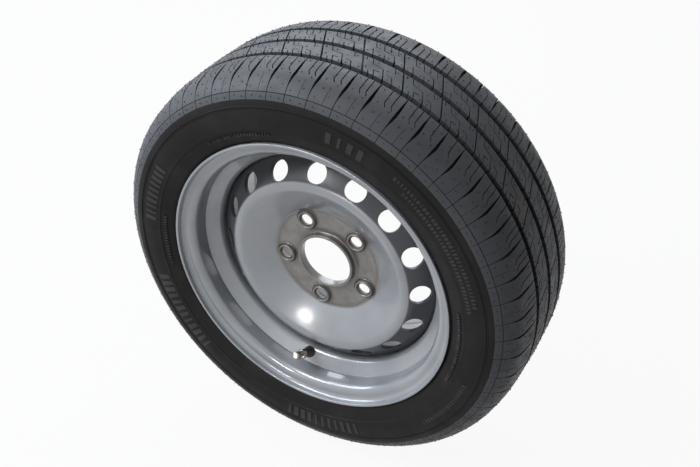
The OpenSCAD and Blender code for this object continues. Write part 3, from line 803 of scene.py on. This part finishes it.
def cutForCurve(bm, across):
    # cut the flat blocks finely enough to bend round the tyre
    for y in across + [-y for y in across]:
        bmesh.ops.bisect_plane(bm, geom=bm.verts[:] + bm.edges[:] + bm.faces[:], dist=1e-4,
                               plane_co=(0, y, 0), plane_no=(0, 1, 0))
    low, high = min(v.co.x for v in bm.verts), max(v.co.x for v in bm.verts)
    count = int((high - low) / 9)
    for i in range(1, count):
        bmesh.ops.bisect_plane(bm, geom=bm.verts[:] + bm.edges[:] + bm.faces[:], dist=1e-4,
                               plane_co=(low + (high - low) * i / count, 0, 0), plane_no=(1, 0, 0))


def ribOutlines():
    s = treadShape
    pitch = fullTurn * tyreShape["crownR"] / s["ribPitches"]
    first = math.radians(s["ribAngle"]) * tyreShape["crownR"]
    outlines = []
    for k in range(s["ribPitches"]):
        outlines += ribBlocks(first + k * pitch, pitch, s["grooveAt"] - s["grooveHalf"], outerRib)
        outlines += ribBlocks(first + k * pitch, pitch, -s["grooveHalf"], innerRib)
    return outlines


def ribBlocks(x, pitch, edgeAt, cuts):
    s = treadShape
    gap, tall = s["ribGap"], s["grooveAt"] - 2 * s["grooveHalf"]
    step = [Vector((p * pitch, q * tall)) for p, q in cuts["step"]]
    sides = []
    for way in (-1, 1):
        side = movedLine(step, way * s["stepCut"])
        foot, wide = side.pop(), way * (s["notch"] - s["stepCut"])
        top = s["notchShare"] * tall
        side += [Vector((foot.x, top)), Vector((foot.x + wide, top)), Vector((foot.x + wide, 0))]
        sides.append(side)

    def slits(edge, low, high):
        return [(p * pitch, [(dx * pitch, dy * tall) for dx, dy in run], s["sipe"])
                for p, run in cuts[edge] if low < p * pitch < high]

    lower, upper = sides
    right = edgeWithCuts(0, gap, lower[-1].x, slits("outboard", gap, lower[-1].x)) + lower[-2::-1]
    right += edgeWithCuts(tall, lower[0].x, gap, slits("inboard", gap, lower[0].x))[1:]
    left = edgeWithCuts(0, upper[-1].x, pitch - gap, slits("outboard", upper[-1].x, pitch - gap))
    left += edgeWithCuts(tall, pitch - gap, upper[0].x, slits("inboard", upper[0].x, pitch - gap))
    left += upper[1:-1]
    return [[(x + s["slant"] * (edgeAt - v) + p, edgeAt - v) for p, v in block]
            for block in (right, left)]


def makeBand(rubber, section):
    # the row of thin plates between the two lines below the shoulder
    c = carcassShape
    bm = bmesh.new()
    for x, width, size in pitchRow():
        low, high, left, right = c["line1"] + 0.45, c["line2"] - 0.2, 0.35, width - 0.35
        for plate in placeRow(x, width, [(left, low), (right, low), (right, high), (left, high)]):
            addBlock(bm, plate)
    sinkBlocks(bm, 1.2, 0.15)
    cutForCurve(bm, [96.5, 99.5])
    wrapOnTyre(bm, section)
    makePiece("shoulderBand", bm, rubber, creases=28)


# The mould's vent stubs, each as a share of its pitch and a distance from the crown. The loose hairs are
# "hairs" in number, on any of "hairRows"
stubShape = {"radius": 0.85, "tip": 0.6, "height": 0.6, "sunk": 0.3, "hairs": 170, "hairR": 0.25,
             "hairTall": (1.5, 4.2), "hairSunk": 0.4, "lean": 0.8, "scatter": 0.6,
             "hairRows": (-92.5, -60, -39, -30, 30, 39, 60, 86, 92.5),
             "shoulder": [(0.52, 52), (0.74, 63), (0.22, 68), (0.62, 76), (0.30, 83), (0.80, 88), (0.28, 98.5),
                          (0.72, 97.5)],
             "ribs": [(0.09, 27), (0.40, 28), (0.58, 27.5), (0.92, 21), (0.13, 8), (0.62, 8), (0.92, 7),
                      (0.40, 14), (0.08, -8), (0.40, -8), (0.62, -7), (0.92, -9), (0.10, -27), (0.36, -22),
                      (0.62, -27), (0.90, -26)]}


def stubPlaces(chance):
    s = treadShape
    spots = []
    for x, width, size in pitchRow():
        marks = [(0.80, 43), (0.30 if size else 0.2, 47)] + stubShape["shoulder"]
        for side in placeRow(x, width, [(width * p, y) for p, y in marks]):
            spots += side
    pitch = fullTurn * tyreShape["crownR"] / s["ribPitches"]
    first = math.radians(s["ribAngle"]) * tyreShape["crownR"]
    for k in range(s["ribPitches"]):
        for p, y in stubShape["ribs"]:
            spots.append((first + (k + p) * pitch + s["slant"] * y, y))
    far = stubShape["scatter"]
    return [(x + chance.uniform(-far, far), y + chance.uniform(-far, far)) for x, y in spots]


def makeStubs(rubber, section):
    s = stubShape
    chance = random.Random(5)
    bm = bmesh.new()
    for x, y in stubPlaces(chance):
        tall = s["height"] * chance.uniform(0.7, 1.5)
        place = Matrix.Translation((x, y, (tall - s["sunk"]) / 2))
        bmesh.ops.create_cone(bm, cap_ends=True, segments=7, radius1=s["radius"], radius2=s["tip"],
                              depth=tall + s["sunk"], matrix=place)
    around = fullTurn * tyreShape["crownR"]
    for i in range(s["hairs"]):
        y = chance.choice(s["hairRows"]) + chance.uniform(-2, 2)
        tall = chance.uniform(*s["hairTall"])
        lean = Matrix.Rotation(chance.uniform(-s["lean"], s["lean"]), 4, "X")
        lean = lean @ Matrix.Rotation(chance.uniform(-s["lean"], s["lean"]), 4, "Y")
        place = Matrix.Translation((chance.uniform(0, around), y, 0)) @ lean
        place = place @ Matrix.Translation((0, 0, (tall - s["hairSunk"]) / 2))
        bmesh.ops.create_cone(bm, cap_ends=True, segments=5, radius1=s["hairR"], radius2=s["hairR"] * 0.5,
                              depth=tall + s["hairSunk"], matrix=place)
    wrapOnTyre(bm, section)
    makePiece("ventStubs", bm, rubber, creases=50)


# Groups of plain bars: the first angle, the angle to the next bar, how many, both edges as distances from the
# crown, the bar's share of its step, and its height
sidewallMarks = [
    {"from": 196, "pitch": 2.6, "count": 12, "edges": (116.5, 132.5), "fill": 0.62, "rise": 0.55},
    {"from": 262, "pitch": 2.6, "count": 11, "edges": (116.5, 132.5), "fill": 0.62, "rise": 0.55},
    {"from": 150, "pitch": 2.4, "count": 10, "edges": (117.5, 131.5), "fill": 0.6, "rise": 0.55},
    {"from": 68, "pitch": 3.4, "count": 4, "edges": (118, 131), "fill": 0.5, "rise": 0.6},
    {"from": 14, "pitch": 1.25, "count": 36, "edges": (118.5, 123.3), "fill": 0.66, "rise": 0.45},
    {"from": 12, "pitch": 1.25, "count": 34, "edges": (126, 130.8), "fill": 0.66, "rise": 0.45},
    {"from": 318, "pitch": 1.3, "count": 20, "edges": (120, 125), "fill": 0.66, "rise": 0.45},
    {"from": 100, "pitch": 1.2, "count": 22, "edges": (141.5, 145.5), "fill": 0.66, "rise": 0.35},
    {"from": 170, "pitch": 1.2, "count": 18, "edges": (141.5, 145.5), "fill": 0.66, "rise": 0.35},
    {"from": 340, "pitch": 1.2, "count": 26, "edges": (141.5, 145.5), "fill": 0.66, "rise": 0.35}]


def makeSidewallMarks(rubber, section):
    # plain raised bars in the places that a tyre has for its mouldings
    bm = bmesh.new()
    chance = random.Random(11)
    for group in sidewallMarks:
        low, high = group["edges"]
        step = math.radians(group["pitch"]) * tyreShape["crownR"]
        for k in range(group["count"]):
            wide = step * group["fill"] * chance.choice((0.55, 0.8, 1, 1))
            x = math.radians(group["from"]) * tyreShape["crownR"] + step * (k + 0.5)
            for part in range(4):
                place = Matrix.Translation((x, low + (high - low) * (part + 0.5) / 4, group["rise"] / 2 - 0.4))
                size = Matrix.Diagonal((wide, (high - low) / 4, group["rise"] + 0.8, 1))
                bmesh.ops.create_cube(bm, size=1, matrix=place @ size)
    bmesh.ops.remove_doubles(bm, verts=bm.verts, dist=1e-3)
    inner = [f for f in bm.faces if all(len(e.link_faces) > 2 for e in f.edges)]
    bmesh.ops.delete(bm, geom=inner, context="FACES_ONLY")
    bmesh.ops.recalc_face_normals(bm, faces=bm.faces)
    wrapOnTyre(bm, section)
    makePiece("sidewallBars", bm, rubber, creases=30)


# Dark rubber, pale rubber and dust, then the shine
rubberTones = {
    # the tread rubber's slight blue is painted sky light; its grey is the rubber's own
    "treadRubber": ((0.050, 0.052, 0.058), (0.071, 0.074, 0.082), (0.070, 0.064, 0.058), 0.2),
    "sideRubber": ((0.010, 0.0095, 0.0098), (0.016, 0.0152, 0.016), (0.034, 0.029, 0.025), 0.11),
    # the bars' rubber is paler than the sidewall's: a painted highlight for light catching the raised bars
    "barHighlightRubber": ((0.022, 0.021, 0.022), (0.032, 0.031, 0.033), (0.04, 0.036, 0.033), 0.25),
    "stubRubber": ((0.010, 0.010, 0.011), (0.016, 0.016, 0.017), (0.02, 0.02, 0.02), 0.3)}


def makeTyre():
    tread, side, bars, stubs = [tyreRubber(name, *tones) for name, tones in rubberTones.items()]
    line, bead = tyreOutside()
    section = Section(line)
    makeCarcass(side, section, bead)
    makeTread(tread, section)
    makeBand(tread, section)
    makeStubs(stubs, section)
    makeSidewallMarks(bars, section)


# Valve

# Profiles are radius, height up the stem and rounding
valveShape = {"angle": 262, "at": 150.2, "z": 48.4848, "tilt": 34.8222, "steps": 48,
              "boot": [(3.2, -10.2, 0), (7, -10.2, 1), (9, -8.2, 1), (9, -4.7, 1), (6.65, -3.2, 0),
                       (5.65, -3.2, 0), (5.65, 0, 0), (7.5, 0, 0.2), (7.5, 2, 0.6), (6.5, 3, 0.6),
                       (6.05, 4.5, 3), (5.25, 24, 0.5), (3.2, 24, 0)],
              "collar": [(3.85, 24, 0), (5.75, 24, 0.2), (6.25, 24.5, 0.3), (6.25, 26, 0.4), (4.65, 29, 0.4),
                         (3.85, 29, 0)],
              "cap": [(0, 49, 0), (0, 47.2, 0), (3.9, 47.2, 0), (3.9, 39, 0), (4.4, 39, 0.1), (4.7, 39.4, 0.2),
                      (4.7, 46.6, 0.8), (4.1, 48.2, 0.6), (2.7, 49, 1), (0, 49, 0)],
              "threadAt": (29.6, 31.4, 33.2, 35.0, 36.8), "threadEnds": (29.0, 38.4), "threadFoot": 3.6,
              "thread": ((3.75, 0), (4.25, 0.45), (4.25, 0.7), (3.75, 1.15)), "threadSteps": 40}


def valvePlace():
    s = valveShape
    return (upright @ Matrix.Rotation(math.radians(s["angle"]), 4, "Z")
            @ Matrix.Translation((s["at"], 0, s["z"])) @ Matrix.Rotation(math.radians(-s["tilt"]), 4, "Y"))


def makeValve():
    s, place = valveShape, valvePlace()
    rubber = softSeal("valveRubber", (0.05, 0.042, 0.034), 0.5)
    nickel = plainMetal("nickelPlate", (0.40, 0.365, 0.32), 0.26)
    brass = plainMetal("turnedBrass", (0.7, 0.52, 0.26), 0.3)
    wire = plainMetal("springWire", (0.55, 0.55, 0.56), 0.25)
    white = softSeal("whiteSeal", (0.75, 0.75, 0.7), 0.5)
    seal = softSeal("blackSeal", (0.03, 0.03, 0.03), 0.6)
    for name, finish, slot, node in (("boot", rubber, "valve_rubber", "valve_rubber"),
                                     ("collar", nickel, "nickel_plate", "valve_collar")):
        bm = bmesh.new()
        spinLine(bm, roundedLine(s[name], 4), s["steps"])
        piece = makePiece("valve" + name.capitalize(), bm, finish, place=place)
        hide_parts(node)
    first, last = s["threadEnds"]
    rings = [(r, z + up) for z in s["threadAt"] for r, up in s["thread"]]
    bm = bmesh.new()
    spinLine(bm, [Vector(p) for p in [(s["threadFoot"], first)] + rings + [(s["threadFoot"], last)]],
             s["threadSteps"])
    makePiece("stemThread", bm, nickel, place=place, creases=50)
    bm = bmesh.new()
    spinLine(bm, roundedLine(s["cap"], 4)[:-1], s["steps"])
    piece = makePiece("valveCap", bm, nickel, body="cap", place=place)
    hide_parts("valve_cap")
    finishes = {"valve_stem": nickel, "core_plug": brass, "core_barrel": brass, "core_pin": brass,
                "core_cup": brass, "core_gasket": white, "core_spring": wire, "core_seal": seal,
                "valve_cap_seal": seal}
    for name, finish in finishes.items():
        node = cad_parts[name]
        node.data.materials.clear()
        node.data.materials.append(finish)


setStage()
print("stage set")
rimPaint = silverPaint("rimPaint", False)
makeRim(rimPaint)
makeDisc(silverPaint("discPaint", True))
makeWelds(rimPaint)
makeTyre()
makeValve()
